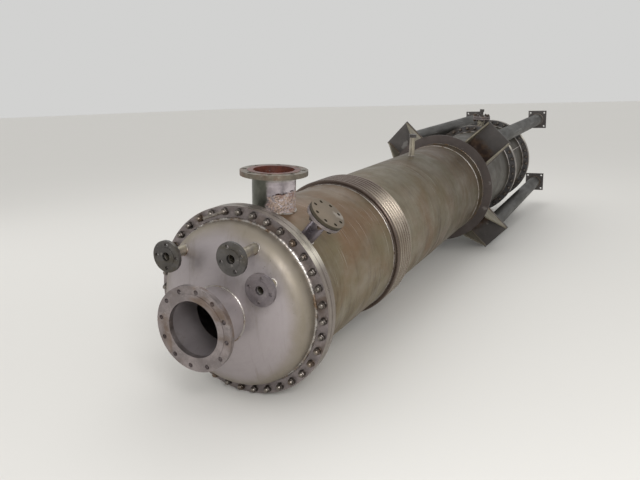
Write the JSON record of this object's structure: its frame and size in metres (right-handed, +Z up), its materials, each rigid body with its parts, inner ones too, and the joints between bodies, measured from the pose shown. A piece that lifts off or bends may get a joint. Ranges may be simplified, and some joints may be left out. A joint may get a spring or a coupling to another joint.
{
  "type": "shell and tube heat exchanger",
  "caption": "Long cylindrical heat exchanger with dished ends, bolted girth joints, an expansion bellows, flanged nozzles and pipe legs on lugs, lying on the floor.",
  "frame": {"origin": "on the floor under the middle of the bounding box", "axes": "+Y along the vessel from its front head to its feet, which rise a little, +X to the side with the angled nozzle, +Z up"},
  "size_m": [1.188, 6.6676, 1.269],
  "materials": {
    "shell_steel": "weathered stainless steel with olive and brown heat tint, scratched",
    "satin_steel": "satin stainless steel, lightly soiled",
    "flange_steel": "dark pickled steel with worn edges",
    "bright_steel": "brushed stainless steel",
    "support_steel": "dark grey steel",
    "leg_steel": "grey satin steel tube",
    "gasket": "dark fibre gasket"
  },
  "bodies": {
    "root": {"domed_head": "satin_steel", "head_girth_flange": "flange_steel", "front_gasket": "gasket", "front_tubesheet": "flange_steel", "front_shell": "shell_steel", "bellows_ring_front": "bright_steel", "expansion_bellows": "bright_steel", "bellows_ring_back": "bright_steel", "main_shell": "shell_steel", "top_nozzle_pipe": "bright_steel", "top_nozzle_flange": "flange_steel", "angled_nozzle_pipe": "bright_steel", "angled_nozzle_flange": "flange_steel", "angled_nozzle_blind": "flange_steel", "head_nozzle_pipe_1": "bright_steel", "head_nozzle_flange_1": "flange_steel", "head_nozzle_pipe_2": "bright_steel", "head_nozzle_flange_2": "flange_steel", "head_nozzle_pipe_3": "bright_steel", "head_nozzle_flange_3": "flange_steel", "inlet_pipe": "satin_steel", "inlet_flange": "flange_steel", "vent_pipe": "shell_steel", "vent_cap": "support_steel", "support_ring": "support_steel", "lug_plate_1": "support_steel", "lug_plate_2": "support_steel", "lug_plate_3": "support_steel", "lug_plate_4": "support_steel", "lug_gussets_1": "support_steel", "lug_gussets_2": "support_steel", "lug_gussets_3": "support_steel", "lug_gussets_4": "support_steel", "leg_1": "leg_steel", "leg_2": "leg_steel", "leg_3": "leg_steel", "leg_4": "leg_steel", "foot_plate_1": "support_steel", "foot_plate_2": "support_steel", "foot_plate_3": "support_steel", "foot_plate_4": "support_steel", "rear_tubesheet": "flange_steel", "rear_gasket": "gasket", "rear_channel_flange": "flange_steel", "rear_channel": "shell_steel", "rear_nozzle_pipe": "bright_steel", "rear_nozzle_flange": "flange_steel", "rear_nozzle_blind": "flange_steel", "rear_nozzle_plug": "support_steel", "rear_end_flange": "flange_steel", "rear_end_gasket": "gasket", "rear_head_flange": "flange_steel", "rear_head": "satin_steel", "outlet_pipe": "satin_steel", "outlet_flange": "flange_steel"}
  },
  "joints": []
}
